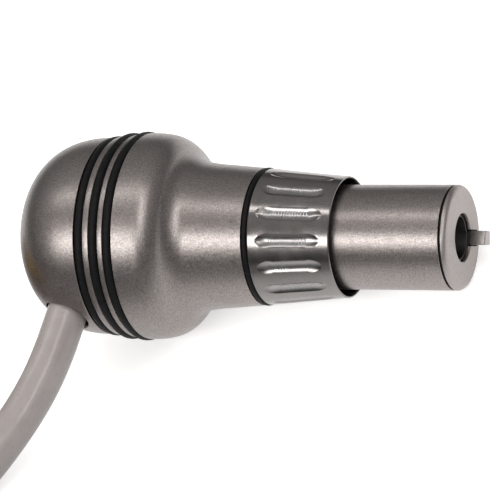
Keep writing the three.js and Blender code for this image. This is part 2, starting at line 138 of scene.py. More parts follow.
def rounded(pts, r=0.1, closed=True, keep=(), steps=3, least=18):
    """A profile with its corners rounded by short arcs. keep holds the indices left alone."""
    p = [np.array(q, float) for q in pts]
    out, count = [], len(p)
    for i, q in enumerate(p):
        if (not closed and i in (0, count - 1)) or i in keep:
            out.append(tuple(q)); continue
        a, b = p[i - 1] - q, p[(i + 1) % count] - q
        la, lb = np.linalg.norm(a), np.linalg.norm(b)
        if la < 1e-6 or lb < 1e-6:
            continue
        a, b = a / la, b / lb
        turn = math.pi - math.acos(max(-1, min(1, float(a @ b))))
        if turn < math.radians(least):
            out.append(tuple(q)); continue
        t = min(r * math.tan(turn / 2), 0.42 * la, 0.42 * lb)
        s0, s1 = q + a * t, q + b * t
        for k in range(steps + 1):
            f = k / steps
            out.append(tuple(s0 * (1 - f) ** 2 + q * 2 * f * (1 - f) + s1 * f * f))
    return out


def lathe(name, profile, mat, body, nodes=(), n=128, closed=True, matrix=TOOL, sharp=32, axis=0):
    """A body of revolution about the tool axis (or about its own +X with another matrix)."""
    verts, rings = [], []
    for s, r in profile:
        if r < 1e-6:
            rings.append([len(verts)]); verts.append((s * MM, 0, 0)); continue
        base = len(verts)
        for k in range(n):
            t = 2 * math.pi * k / n
            verts.append((s * MM, r * MM * math.cos(t), r * MM * math.sin(t)))
        rings.append(list(range(base, base + n)))
    faces, pairs = [], list(zip(rings[:-1], rings[1:]))
    if closed:
        pairs.append((rings[-1], rings[0]))
    for p, q in pairs:
        if len(p) == 1 and len(q) == 1:
            continue
        for k in range(n):
            j = (k + 1) % n
            if len(p) == 1:
                faces.append((p[0], q[j], q[k]))
            elif len(q) == 1:
                faces.append((p[k], p[j], q[0]))
            else:
                faces.append((p[k], p[j], q[j], q[k]))
    return solid(name, verts, faces, mat, body, nodes, sharp, matrix)


def smooth_line(pts, step=0.25):
    """A smooth curve through (s, r) points, by monotone cubic pieces along the chord length."""
    p = np.array(pts, float)
    t = np.concatenate([[0], np.cumsum(np.linalg.norm(np.diff(p, axis=0), axis=1))])
    out = []
    slopes = np.zeros_like(p)
    for c in range(2):
        d = np.diff(p[:, c]) / np.diff(t)
        for i in range(1, len(p) - 1):
            h0, h1 = t[i] - t[i - 1], t[i + 1] - t[i]
            slopes[i, c] = (d[i - 1] * h1 + d[i] * h0) / (h0 + h1)
        slopes[0, c], slopes[-1, c] = d[0], d[-1]
    for i in range(len(p) - 1):
        h = t[i + 1] - t[i]
        count = max(2, int(round(h / step)))
        for k in range(count):
            f = k / count
            h00, h10 = 2 * f**3 - 3 * f**2 + 1, f**3 - 2 * f**2 + f
            h01, h11 = -2 * f**3 + 3 * f**2, f**3 - f**2
            out.append(tuple(h00 * p[i] + h10 * h * slopes[i] + h01 * p[i + 1] + h11 * h * slopes[i + 1]))
    out.append(tuple(p[-1]))
    return out


def torus(name, s, radius, cord, mat, body, nodes, n=144, sides=28, squash=1.0):
    prof = [(s + cord * math.cos(2 * math.pi * k / sides), radius + cord * squash * math.sin(2 * math.pi * k / sides)) for k in range(sides)]
    return lathe(name, prof, mat, body, nodes, n, True, TOOL, 180)


def sweep(line, radius, sides, inner=0.0, inner_sides=16, radius_at=None):
    """Vertices and faces of a tube along points (any unit), hollow if inner is over 0."""
    line = np.array(line, float)
    tang = np.gradient(line, axis=0)
    tang /= np.linalg.norm(tang, axis=1)[:, None]
    up = np.array([0, 0, 1.0]) if abs(tang[0][2]) < 0.9 else np.array([0, 1.0, 0])
    frames, side = [], None
    for t in tang:
        if side is None:
            side = np.cross(t, up)
        side = side - t * (side @ t)
        side /= np.linalg.norm(side)
        frames.append((side.copy(), np.cross(t, side)))
    verts, faces = [], []

    def shell(r, sides, flip):
        base = len(verts)
        for i, (p, (x, y)) in enumerate(zip(line, frames)):
            rr = r if radius_at is None else r * radius_at(i)
            for k in range(sides):
                t = 2 * math.pi * k / sides
                verts.append(p + rr * (math.cos(t) * x + math.sin(t) * y))
        for i in range(len(line) - 1):
            for k in range(sides):
                j = (k + 1) % sides
                f = (base + i * sides + k, base + i * sides + j, base + (i + 1) * sides + j, base + (i + 1) * sides + k)
                faces.append(f[::-1] if flip else f)
        return base

    sides2 = sides if inner else 0
    o = shell(radius, sides, False)
    last = o + (len(line) - 1) * sides
    if inner:
        b = shell(inner, sides2, True)
        lastb = b + (len(line) - 1) * sides2
        for k in range(sides):
            j = (k + 1) % sides
            faces.append((o + k, b + k, b + j, o + j))
            faces.append((last + k, last + j, lastb + j, lastb + k))
    else:
        faces.append(tuple(range(o, o + sides))[::-1])
        faces.append(tuple(range(last, last + sides)))
    return verts, faces


# ------------------------------------------------------------------ materials
class Nodes:
    def __init__(self, name):
        self.mat = bpy.data.materials.new(name)
        self.mat.use_nodes = True
        self.tree = self.mat.node_tree
        self.bsdf = next(x for x in self.tree.nodes if x.type == "BSDF_PRINCIPLED")
        self.coord = self.new("ShaderNodeTexCoord")

    def new(self, kind, **values):
        node = self.tree.nodes.new(kind)
        for k, v in values.items():
            setattr(node, k, v)
        return node

    def link(self, a, b):
        self.tree.links.new(a, b)

    def mapped(self, scale=(1, 1, 1), turn=(0, 0, 0)):
        r = self.new("ShaderNodeMapping")
        r.inputs["Rotation"].default_value = turn
        self.link(self.coord.outputs["Object"], r.inputs["Vector"])
        m = self.new("ShaderNodeMapping")
        m.inputs["Scale"].default_value = scale
        self.link(r.outputs["Vector"], m.inputs["Vector"])
        return m.outputs["Vector"]

    def noise(self, scale, detail=3.0, rough=0.55, vector=None, distortion=0.0):
        t = self.new("ShaderNodeTexNoise")
        t.inputs["Scale"].default_value = scale
        t.inputs["Detail"].default_value = detail
        t.inputs["Roughness"].default_value = rough
        t.inputs["Distortion"].default_value = distortion
        self.link(vector or self.coord.outputs["Object"], t.inputs["Vector"])
        return t.outputs["Fac"]

    def ramp(self, fac, stops):
        r = self.new("ShaderNodeValToRGB")
        el = r.color_ramp.elements
        while len(el) < len(stops):
            el.new(0.5)
        for e, (p, c) in zip(el, stops):
            e.position = p
            e.color = (*c, 1) if hasattr(c, "__len__") else (c, c, c, 1)
        self.link(fac, r.inputs["Fac"])
        return r.outputs["Color"]

    def remap(self, fac, lo, hi, a=0.3, b=0.7):
        m = self.new("ShaderNodeMapRange")
        for k, v in (("From Min", a), ("From Max", b), ("To Min", lo), ("To Max", hi)):
            m.inputs[k].default_value = v
        self.link(fac, m.inputs["Value"])
        return m.outputs["Result"]

    def mul(self, color_a, color_b, fac=1.0, mode="MULTIPLY"):
        m = self.new("ShaderNodeMix", data_type="RGBA", blend_type=mode)
        m.inputs[0].default_value = fac
        self.link(color_a, m.inputs[6])
        self.link(color_b, m.inputs[7])
        return m.outputs[2]

    def bump(self, height, distance, strength=1.0, normal=None):
        b = self.new("ShaderNodeBump")
        b.inputs["Distance"].default_value = distance
        b.inputs["Strength"].default_value = strength
        self.link(height, b.inputs["Height"])
        if normal is not None:
            self.link(normal, b.inputs["Normal"])
        return b.outputs["Normal"]

    def set(self, **values):
        for k, v in values.items():
            self.bsdf.inputs[k.replace("_", " ")].default_value = v
        return self

    def out(self, color=None, rough=None, normal=None):
        if color is not None:
            self.link(color, self.bsdf.inputs["Base Color"])
        if rough is not None:
            self.link(rough, self.bsdf.inputs["Roughness"])
        if normal is not None:
            self.link(normal, self.bsdf.inputs["Normal"])
        return self.mat


def blasted(name, base, rough=(0.30, 0.42), grain=1.0, dark=1.0):
    """Bead-blasted steel: fine bright and dark speckle over a satin grey."""
    m = Nodes(name)
    fine = m.noise(5200, 2.0, 0.6)
    mid = m.noise(2300, 3.0, 0.6)
    broad = m.noise(120, 3.0, 0.5)
    lo, hi = [c * (1 - 0.30 * grain) * dark for c in base], [c * (1 + 0.36 * grain) * dark for c in base]
    col = m.ramp(fine, [(0.30, lo), (0.5, [c * dark for c in base]), (0.70, hi)])
    tint = m.ramp(broad, [(0.3, (0.93, 0.93, 0.94)), (0.7, (1.0, 1.0, 1.0))])
    col = m.mul(col, tint)
    m.set(Metallic=1.0)
    nrm = m.bump(mid, 0.00004, 0.35 * grain)
    nrm = m.bump(fine, 0.000022, 0.4 * grain, nrm)
    return m.out(col, m.remap(mid, *rough), nrm)


def turned_steel(name, base, rough=(0.12, 0.22), lines=0.25, fine=0.2, line_scale=9000, turn=(0, -TILT, 0)):
    """Turned steel: faint rings round the axis over a polish."""
    m = Nodes(name)
    rings = m.noise(1.0, 3.0, 0.7, m.mapped((line_scale, 60, 60), turn))
    cloud = m.noise(420, 3.0, 0.6)
    grain = m.noise(4200, 2.0, 0.6)
    col = m.ramp(grain, [(0.3, [c * 0.90 for c in base]), (0.7, [min(1, c * 1.08) for c in base])])
    col = m.mul(col, m.ramp(cloud, [(0.3, (0.9, 0.895, 0.89)), (0.7, (1, 1, 1))]))
    m.set(Metallic=1.0)
    nrm = m.bump(rings, 0.000006, lines)
    nrm = m.bump(grain, 0.00001, fine, nrm)
    return m.out(col, m.remap(cloud, *rough), nrm)


def rubber(name, base=(0.006, 0.0057, 0.006)):
    m = Nodes(name)
    grain = m.noise(3800, 3.0, 0.65)
    dust = m.noise(900, 4.0, 0.7)
    col = m.ramp(dust, [(0.35, base), (0.62, [c * 1.5 for c in base]), (0.78, [c * 3.0 for c in base])])
    m.set(Specular_IOR_Level=0.1)
    return m.out(col, m.remap(grain, 0.42, 0.66), m.bump(grain, 0.00004, 0.5))


def cast_plastic(name, base, rough=(0.4, 0.5)):
    m = Nodes(name)
    grain = m.noise(2600, 3.0, 0.6)
    col = m.ramp(m.noise(500, 3.0), [(0.3, [c * 0.93 for c in base]), (0.7, base)])
    return m.out(col, m.remap(grain, *rough), m.bump(grain, 0.00001, 0.25))


def hose_material(name):
    """Clear flexible hose gone a little milky."""
    m = Nodes(name)
    along = m.noise(260, 3.0, 0.6)
    haze = m.noise(1500, 3.0, 0.6)
    col = m.ramp(along, [(0.3, (0.315, 0.283, 0.276)), (0.7, (0.355, 0.321, 0.314))])
    m.set(IOR=1.42, Specular_IOR_Level=0.5, Coat_Weight=0.25, Coat_Roughness=0.15)
    return m.out(col, m.remap(haze, 0.26, 0.34))


def woven(name):
    """A woven hook-and-loop strap, black."""
    m = Nodes(name)
    w1 = m.new("ShaderNodeTexWave", wave_type="BANDS", bands_direction="Z", wave_profile="SIN")
    w1.inputs["Scale"].default_value = 700
    w1.inputs["Distortion"].default_value = 0.6
    w1.inputs["Detail"].default_value = 1.0
    m.link(m.coord.outputs["Object"], w1.inputs["Vector"])
    w2 = m.new("ShaderNodeTexWave", wave_type="BANDS", bands_direction="DIAGONAL", wave_profile="SIN")
    w2.inputs["Scale"].default_value = 620
    w2.inputs["Distortion"].default_value = 0.6
    m.link(m.coord.outputs["Object"], w2.inputs["Vector"])
    weave = m.mul(w1.outputs["Color"], w2.outputs["Color"], 0.75)
    col = m.mul(m.ramp(w1.outputs["Fac"], [(0.2, (0.008, 0.008, 0.009)), (0.8, (0.03, 0.03, 0.032))]),
                m.ramp(m.noise(1500, 3.0), [(0.3, (0.7, 0.7, 0.7)), (0.7, (1, 1, 1))]))
    m.set(Sheen_Weight=0.25)
    return m.out(col, m.remap(m.noise(2000), 0.75, 0.9), m.bump(weave, 0.00012, 0.6))


BLAST = (0.272, 0.246, 0.236)
M_BLAST = blasted("blasted_metal", BLAST)
M_FACE = blasted("blasted_cap", (0.35, 0.318, 0.308), (0.40, 0.52), 0.35)
M_RING = None                            # made below, once the ring's taper is known
M_KEY = turned_steel("key_steel", (0.42, 0.39, 0.38), (0.36, 0.48), 0.3, 0.3)
# Painted shade: the bore sleeve's steel gets a very dark tone that stands in for the shade inside the bore.
M_BORE_SHADE = turned_steel("bore_steel_painted_shade", (0.13, 0.125, 0.122), (0.3, 0.42), 0.3, 0.2)
M_STEEL = turned_steel("ground_steel", (0.50, 0.49, 0.48), (0.2, 0.32), 0.5, 0.2, 6000)
M_BRASS = turned_steel("turned_brass", (0.66, 0.45, 0.17), (0.2, 0.32), 0.5, 0.2, 6000)
M_PLUG = turned_steel("turned_plug_brass", (0.66, 0.45, 0.17), (0.2, 0.32), 0.5, 0.2, 6000, (0, 0, math.radians(62)))
M_BRONZE = turned_steel("sintered_bronze", (0.42, 0.25, 0.11), (0.36, 0.5), 0.3, 0.5, 5000)
M_ALLOY = turned_steel("machined_alloy", (0.56, 0.56, 0.57), (0.26, 0.4), 0.6, 0.2, 5000)
M_RUBBER = rubber("black_nitrile")
M_PTFE = cast_plastic("white_ptfe", (0.72, 0.71, 0.67))
M_HOSE = hose_material("milky_hose")
M_STRAP = woven("strap_weave")

# ------------------------------------------------------------------- air hose
HOSE_R, HOSE_BORE, HOLE_R = 3.175, 1.5875, 3.5
EXIT = np.array([-8.75, -14.03, 14.20])
AZ, EL = math.radians(-103), math.radians(-20)
OUT = np.array([math.cos(EL) * math.cos(AZ), math.cos(EL) * math.sin(AZ), math.sin(EL)])
KEYS = [(6, -103, -20), (10, -112, -20), (16, -124, -20), (22, -131, -20.5), (27, -134, -19), (31, -136, -13), (35, -138, -6), (40, -139, 0), (61, -139, 0)]


def lead_line():
    ls = [k[0] for k in KEYS]

    def run(steep):
        p, out, l = EXIT + OUT * 6, [], 6.0
        while l < 61 - 1e-6:
            az = math.radians(np.interp(l + 0.25, ls, [k[1] for k in KEYS]))
            el = math.radians(np.interp(l + 0.25, ls, [k[2] for k in KEYS])) * steep
            p = p + 0.5 * np.array([math.cos(el) * math.cos(az), math.cos(el) * math.sin(az), math.sin(el)])
            l += 0.5
            if abs((l - 6) % 2.5) < 1e-6 or abs((l - 6) % 2.5 - 2.5) < 1e-6:
                out.append(p)
        return out
    lo, hi = 0.5, 1.5
    for _ in range(40):
        mid = (lo + hi) / 2
        if run(mid)[-1][2] > HOSE_R + 0.05:
            lo = mid
        else:
            hi = mid
    return [EXIT + OUT * k for k in (-3.6, -1.8, 0, 2.0, 4.0, 6.0)] + run(lo)


COIL_C, TIE_DEG = (-71.275, -28.904), 238.0
PLUG = {"angle": 45.0, "r": 36.0, "heading": -62.0, "z": 17.65}


def ease(x):
    x = min(1.0, max(0.0, x))
    return x * x * (3 - 2 * x)


def coil_line():
    """Three turns wound inwards on the surface, three outwards on top of them, and the end up onto the coil."""
    def r_at(f):
        r = 39.2 - 6.4 * ease((f - 240) / 120) - 6.4 * ease((f - 600) / 120)
        r += 6.4 * ease((f - 1230) / 100) + 6.4 * ease((f - 1590) / 100)
        return r - 3.2 * ease((f - 1955) / 105)

    def z_at(f):
        off = abs((-49 - f - TIE_DEG + 180) % 360 - 180)       # the strap under the coil lifts the turns a little
        lift = 0.42 * ease((32 - off) / 22) * (1 - ease((f - 1880) / 40))
        return 3.225 + lift + 6.47 * ease((f - 900) / 100) + 6.4 * ease((f - 1880) / 110) + 1.55 * ease((f - 1995) / 71)
    out = []
    f = 9.0
    while f < 2052.5:
        t = math.radians(-49 - f)
        r = r_at(f)
        out.append(np.array([COIL_C[0] + r * math.cos(t), COIL_C[1] + r * math.sin(t), z_at(f)]))
        f += 9.0
    return out


lead = lead_line()
coil = coil_line()
h = math.radians(PLUG["heading"])
plug_at = np.array([COIL_C[0] + PLUG["r"] * math.cos(math.radians(45)), COIL_C[1] + PLUG["r"] * math.sin(math.radians(45)), PLUG["z"]])
plug_dir = np.array([math.cos(h), math.sin(h), 0.0])
ending = [plug_at + plug_dir * k for k in (0.0, 2.5, 5.0, 7.6)]
rough_path = np.array(lead + coil + ending)
# one smooth line through all of it, evenly stepped
from_start = np.concatenate([[0], np.cumsum(np.linalg.norm(np.diff(rough_path, axis=0), axis=1))])


def catmull(points, per):
    pts = np.array(points, float)
    p = np.vstack([2 * pts[0] - pts[1], pts, 2 * pts[-1] - pts[-2]])
    out = []
    for i in range(1, len(p) - 2):
        p0, p1, p2, p3 = p[i - 1], p[i], p[i + 1], p[i + 2]
        for k in range(per):
            t = k / per
            out.append(0.5 * (2 * p1 + (p2 - p0) * t + (2 * p0 - 5 * p1 + 4 * p2 - p3) * t * t + (3 * p1 - p0 - 3 * p2 + p3) * t**3))
    out.append(pts[-1])
    return np.array(out)


def resample(points, step):
    d = np.concatenate([[0], np.cumsum(np.linalg.norm(np.diff(points, axis=0), axis=1))])
    count = int(round(d[-1] / step))
    at = np.linspace(0, d[-1], count + 1)
    return np.stack([np.interp(at, d, points[:, i]) for i in range(3)], 1)


def relax(points, times, ends=6):
    """Evens out small kinks without moving the ends."""
    q = points.copy()
    for _ in range(times):
        m = q.copy()
        m[ends:-ends] = 0.5 * q[ends:-ends] + 0.25 * (q[ends - 1:-ends - 1] + q[ends + 1:len(q) - ends + 1])
        q = m
    return q


route = relax(resample(catmull(rough_path, 6), 1.6), 6)
route_m = (route + np.array([SHIFT, 0, 0])) * MM
v, f = sweep(route_m, HOSE_R * MM, 28, HOSE_BORE * MM)
hose = solid("air_hose", v, f, M_HOSE, "handle", ("hose_lead", "hose_coil", "hose_tail"), 60)

# the tie: a strap round the wound turns
TIE_W = 7.6


def strap(name, outline_out, outline_in, width, angle_deg, mat, nodes):
    """A strap of constant width whose section (r, z) is a loop, rounded across its width."""
    c, s = math.cos(math.radians(angle_deg)), math.sin(math.radians(angle_deg))
    cols = [-0.5, -0.47, -0.42, -0.2, 0.2, 0.42, 0.47, 0.5]
    verts, faces = [], []
    loops = []
    for w in cols:
        e = abs(w) * 2
        inset = 0.0 if e < 0.86 else (0.10 if e < 0.97 else 0.22)
        loop = []
        for (ro, zo), (ri, zi) in zip(outline_out, outline_in):
            mid = (np.array([ro, zo]) + np.array([ri, zi])) / 2
            o = np.array([ro, zo]) + (mid - np.array([ro, zo])) * inset * 2
            i = np.array([ri, zi]) + (mid - np.array([ri, zi])) * inset * 2
            for q in (o, i):
                x = COIL_C[0] + SHIFT + q[0] * c - w * width * s
                y = COIL_C[1] + q[0] * s + w * width * c
                loop.append(len(verts)); verts.append((x * MM, y * MM, q[1] * MM))
        loops.append(loop)
    m = len(outline_out)
    for a_, b_ in zip(loops[:-1], loops[1:]):
        for k in range(m):
            j = (k + 1) % m
            faces.append((a_[2 * k], a_[2 * j], b_[2 * j], b_[2 * k]))
            faces.append((a_[2 * k + 1], b_[2 * k + 1], b_[2 * j + 1], a_[2 * j + 1]))
    for loop, flip in ((loops[0], False), (loops[-1], True)):
        for k in range(m):
            j = (k + 1) % m
            q = (loop[2 * k], loop[2 * k + 1], loop[2 * j + 1], loop[2 * j])
            faces.append(q[::-1] if flip else q)
    return solid(name, verts, faces, mat, "handle", nodes, 40)


def bulged(points, rad):
    """A loop (r, z) whose corners are rounded, with the same number of points for any offset."""
    return rounded(points, rad, True, (), 6, 10)


tie_in = bulged([(22.72, 0.40), (42.6, 0.40), (42.6, 13.36), (22.72, 13.36)], 3.0)
tie_out = bulged([(21.92, 0.04), (43.4, 0.04), (43.4, 14.05), (21.92, 14.05)], 3.8)
strap("hose_strap", tie_out, tie_in, TIE_W, TIE_DEG, M_STRAP, ("hose_tie",))

# the plug on the far end, built along its own +X
PX = Vector(plug_dir).normalized()
PY = Vector((0, 0, 1)).cross(PX).normalized()
PLUG_M = Matrix(((PX.x, PY.x, 0, (plug_at[0] + SHIFT) * MM), (PX.y, PY.y, 0, plug_at[1] * MM), (PX.z, PY.z, 1, plug_at[2] * MM), (0, 0, 0, 1)))
crimp = [(0, 3.5), (0, 4.1)]
crimp += [(0.5, 4.35), (1.4, 4.35)]
for k in range(3):                      # three crimped grooves
    s0 = 1.8 + 2.0 * k
    crimp += [(s0, 4.35), (s0 + 0.35, 4.12), (s0 + 0.95, 4.12), (s0 + 1.3, 4.35)]
crimp += [(7.9, 4.35), (8.2, 4.1), (8.2, 3.5)]
ferrule = lathe("hose_ferrule", rounded(crimp, 0.16), M_PLUG, "handle", ("plug_ferrule",), 96, True, PLUG_M)


def plug_mesh():
    n6 = 96
    verts, rings = [], []
    prof = [(1.6, 0.7), (1.6, 1.25), (8.6, 1.25), (8.6, "h0"), (8.95, "h"), (14.25, "h"), (14.6, "h0"), (14.6, 3.1), (17.45, 3.1), (17.6, 2.95), (17.6, 2.55), (19.4, 2.55), (19.4, 2.95), (19.55, 3.1), (23.4, 3.1), (24.0, 2.85), (24.4, 2.3), (24.4, 0.9), (24.2, 0.7)]
    prof = prof[:8] + prof[8:]
    for s, r in prof:
        ring = []
        for k in range(n6):
            t = 2 * math.pi * k / n6
            if isinstance(r, str):
                side = ((t + math.pi / 6) % (math.pi / 3)) - math.pi / 6
                hexr = 4.34 / math.cos(side)
                rr = min(hexr, 4.85) if r == "h" else min(hexr, 4.45)
            else:
                rr = r
            ring.append(len(verts)); verts.append((s * MM, rr * MM * math.cos(t), rr * MM * math.sin(t)))
        rings.append(ring)
    faces = []
    for p, q in zip(rings, rings[1:] + rings[:1]):
        for k in range(n6):
            j = (k + 1) % n6
            faces.append((p[k], p[j], q[j], q[k]))
    return verts, faces


v, f = plug_mesh()
plug = solid("hose_plug", v, f, M_PLUG, "handle", ("plug_body",), 30, PLUG_M)
pring = lathe("plug_seal", [(18.5 + 0.55 * math.cos(2 * math.pi * k / 20), 3.0 + 0.43 * math.sin(2 * math.pi * k / 20)) for k in range(20)], M_RUBBER, "handle", ("plug_oring",), 96, True, PLUG_M, 180)

# --------------------------------------------------------------- palm handle
DOME = {"s0": -2.94, "r": 15.3, "len": 14.1, "m": 2.45}
GRIP = [("grip_oring_rear", -2.58, 15.50), ("grip_oring_middle", 0.0, 16.00), ("grip_oring_front", 2.43, 16.18)]
CORD = 0.66


def dome_r(s):
    x = abs((s - DOME["s0"]) / DOME["len"])
    return DOME["r"] * max(0.0, 1 - x ** DOME["m"]) ** (1 / DOME["m"])


def groove(s, r):
    return s - 0.78, s + 0.78, r - 2 * CORD - 0.12


g0, g1, g2 = (groove(s, r) for _, s, r in GRIP)
skin = []
for k in range(61):                      # even steps round the dome
    t = math.pi / 2 * k / 60
    c, s = math.cos(t), math.sin(t)
    rho = (abs(c / DOME["len"]) ** DOME["m"] + abs(s / DOME["r"]) ** DOME["m"]) ** (-1 / DOME["m"])
    skin.append((DOME["s0"] - rho * c, rho * s))
skin = [p for p in skin if p[0] < g0[0] - 0.25]
dome_prof = [(skin[0][0], 0.0)] + skin[1:] + rounded(
    [skin[-1], (g0[0], dome_r(g0[0]) + 0.02), (g0[0], g0[2]), (g0[1], g0[2]), (g0[1], 15.44), (g1[0], 15.54), (g1[0], g1[2]), (-0.15, g1[2]),
     (-0.15, 13.2), (-2.7, 13.2), (-2.7, 12.0), (-9.2, 12.0), (-11, 10.9), (-13.0, 9.1), (-13.6, 7.0), (-13.6, 0)], 0.14, False)[1:]
dome = lathe("rear_shell", dome_prof, M_BLAST, "handle", ("rear_dome",), 192, False)
out_t, exit_t = to_tool(OUT), to_tool(EXIT, True)


def cutter(profile, origin, direction, n=96):
    """A closed solid of revolution to cut with, along a direction in the tool's frame."""
    q = Vector((1, 0, 0)).rotation_difference(Vector(direction))
    m = TOOL @ (Matrix.Translation(Vector(origin) * MM) @ q.to_matrix().to_4x4())
    ob = lathe("cutter", profile, M_STEEL, None, (), n, False, m)
    return ob


hole = cutter([(-5.5, 0), (-5.5, HOLE_R), (0.05, HOLE_R), (0.8, HOLE_R + 0.42), (6.5, HOLE_R + 2.2), (6.5, 0)], exit_t, out_t)
hole_side = cutter([(-3.0, 0), (-3.0, 3.3), (6.5, 3.3), (6.5, 0)], np.array(exit_t) + np.array([0.7, 0, 0.35]), out_t)
carve(dome, [hole, hole_side])

shoulder = smooth_line([(3.4, 15.96), (4.5, 15.93), (6, 15.78), (7.5, 15.40), (8.5, 14.86), (9.5, 13.985), (10.4, 12.88), (11.2, 12.17), (12.3, 11.58), (14.2, 11.2), (17.0, 10.945), (22.0, 10.51)], 0.22)
shell_prof = rounded([(0.15, g1[2]), (g1[1], g1[2]), (g1[1], 15.70), (g2[0], 15.77), (g2[0], g2[2]), (g2[1], g2[2]), (g2[1], 15.96), (3.4, 15.96)], 0.14, False)[:-1] \
    + shoulder + rounded([(22.0, 10.51), (22.12, 10.5), (22.12, 9.6), (22.95, 9.6), (22.95, 8.3), (29.1, 8.3), (29.1, 7.95), (29.95, 7.95), (29.95, 8.3), (30.6, 8.3), (30.6, 7.5),
               (3.0, 7.5), (3.0, 9.2), (2.0, 11.3), (-2.4, 11.3), (-2.4, 12.9), (0.15, 12.9), (0.15, g1[2])], 0.1, False)[1:-1]
shell = lathe("front_shell", shell_prof, M_BLAST, "handle", ("palm_shell",), 192)


def box_cutter(size, centre, turn_deg):
    bm = bmesh.new()
    bmesh.ops.create_cube(bm, size=1.0)
    mesh = bpy.data.meshes.new("cutter")
    bm.transform(TOOL @ Matrix.Rotation(math.radians(turn_deg), 4, "X") @ Matrix.Translation(Vector(centre) * MM) @ Matrix.Diagonal((*[x * MM for x in size], 1)))
    bm.to_mesh(mesh); bm.free()
    ob = bpy.data.objects.new("cutter", mesh)
    bpy.context.scene.collection.objects.link(ob)
    return ob


carve(shell, [box_cutter((2.5, 1.5, 3), (26.9, 0, 8.0), -t) for t in (90, 270)])

for name, s, r in GRIP:
    torus(name.replace("grip_oring", "grip_ring"), s, r - CORD, CORD, M_RUBBER, "handle", (name,), 192)
torus("neck_ring", 22.6, 10.56 - 0.42, 0.42, M_RUBBER, "handle", ("neck_oring",), 176)
lathe("bearing_rear", rounded([(1.95, 6.3), (1.95, 8.9), (2.7, 8.9), (2.7, 7.2), (10.5, 7.2), (10.5, 6.3)], 0.15), M_BRONZE, "handle", ("rear_bush",), 96)
lathe("bearing_front", rounded([(18.5, 6.3), (18.5, 7.2), (23.5, 7.2), (23.5, 6.3)], 0.15), M_BRONZE, "handle", ("front_bush",), 96)
lathe("retaining_clip", rounded([(29.25, 8.12), (29.25, 8.95), (29.8, 8.95), (29.8, 8.12)], 0.08), M_STEEL, "handle", ("ring_clip",), 120)
lathe("front_wiper", rounded([(30.9, 6.35), (30.9, 8.3), (31.6, 8.3), (31.6, 6.35)], 0.2), M_RUBBER, "handle", ("wiper_ring",), 120)
block = lathe("inlet_body", rounded([(-13.2, 1.3), (-13.2, 6.4), (-12.6, 8.6), (-11.6, 9.6), (-10.6, 10.2), (-10.2, 10.2), (-10.2, 9.0), (-4.4, 9.0), (-4.4, 1.4), (-8.3, 1.4), (-8.3, 3.0), (-12.7, 3.0), (-12.7, 1.3)], 0.12), M_ALLOY, "handle", ("inlet_block",), 120)
carve(block, [cutter([(-7.0, 0), (-7.0, 2.25), (-1.0, 2.25), (-1.0, 0)], exit_t, out_t, 48)])
q = Vector((1, 0, 0)).rotation_difference(Vector(out_t))
BARB_M = TOOL @ (Matrix.Translation(Vector(exit_t - out_t * 6.6) * MM) @ q.to_matrix().to_4x4())
lathe("brass_barb", rounded([(0, 0.6), (0, 1.9), (2.0, 1.9), (2.0, 1.25), (3.2, 1.25), (4.6, 1.25), (7.6, 1.25), (8.0, 1.0), (8.0, 0.6)], 0.1), M_BRASS, "handle", ("hose_barb",), 64, True, BARB_M)
lathe("valve_washer", rounded([(-8.95, 1.5), (-8.95, 2.7), (-8.4, 2.7), (-8.4, 1.5)], 0.1), M_RUBBER, "handle", ("valve_seal",), 64)


def spring(name, s0, s1, radius, wire, turns, body, node, ends=0.6):
    """A round wire spring along the tool axis."""
    steps = int(turns * 40)
    pts = []
    for k in range(steps + 1):
        t = k / steps
        ang = 2 * math.pi * turns * t
        grow = t * turns
        lead_ = ends
        x = (ease(min(1, grow / lead_)) * 0.0 + t)
        pts.append((( s0 + wire + (s1 - s0 - 2 * wire) * x) * MM, radius * math.cos(ang) * MM, radius * math.sin(ang) * MM))
    v, f = sweep(pts, wire * MM, 14)
    return solid(name, v, f, M_STEEL, body, (node,), 50, TOOL)


return_spring = spring("return_spring", -4.15, 0.25, 6.6, 0.4, 3.25, "handle", "palm_spring")
valve_spring = spring("valve_spring", -12.6, -10.15, 1.9, 0.22, 3, "handle", "throttle_spring")
lathe("valve_poppet", rounded([(-10.0, 0), (-10.0, 2.4), (-9.2, 2.4), (-9.2, 1.1), (0.25, 1.1), (0.25, 0)], 0.12, False), M_STEEL, "throttle", ("throttle_poppet",), 64, False)

# --------------------------------------------------------------- nose barrel
NOSE_R, FACE_S, SH = 7.93, 53.9, 0.9
lathe("barrel_plug", rounded([(0.5, 0.9), (0.5, 8.7), (1.65, 8.7), (1.65, 4.5), (3.6, 4.5), (3.6, 3.7), (4.8, 3.7), (4.8, 4.5), (6, 4.5), (6, 0.9)], 0.12), M_ALLOY, "nose_barrel", ("barrel_head",), 96)
torus("barrel_seal", 4.2, 4.25, 0.45, M_RUBBER, "nose_barrel", ("head_oring",), 96, 20)
lathe("nose_tube", rounded([(1.95, 4.85), (1.95, 6.0), (33.2, 6.0), (33.2, 7.0), (34.1, NOSE_R), (43.0, NOSE_R), (52.6, NOSE_R), (52.6, 6.95), (48.2, 6.95), (48.2, 4.85)], 0.13), M_BLAST, "nose_barrel", ("nose_body",), 192)
lathe("nose_seam", rounded([(52.7, 7.0), (52.7, 7.76), (53.0, 7.76), (53.0, 7.0)], 0.05), M_RUBBER, "nose_barrel", ("seam_ring",), 192)
cap_prof = [(53.08, 6.6), (53.08, NOSE_R - 0.1), (53.13, NOSE_R - 0.02)]
for k in range(13):
    t = math.pi / 2 * k / 12
    cap_prof.append((FACE_S - SH + SH * math.sin(t), NOSE_R - SH + SH * math.cos(t)))
cap_prof += [(FACE_S, 5.6), (FACE_S, 3.86), (FACE_S - 0.03, 3.72), (FACE_S - 0.14, 3.63), (53.5, 3.60), (53.45, 4.95), (48.6, 4.95), (48.6, 6.6)]
cap = lathe("nose_end", cap_prof, M_FACE, "nose_barrel", ("nose_cap",), 192)
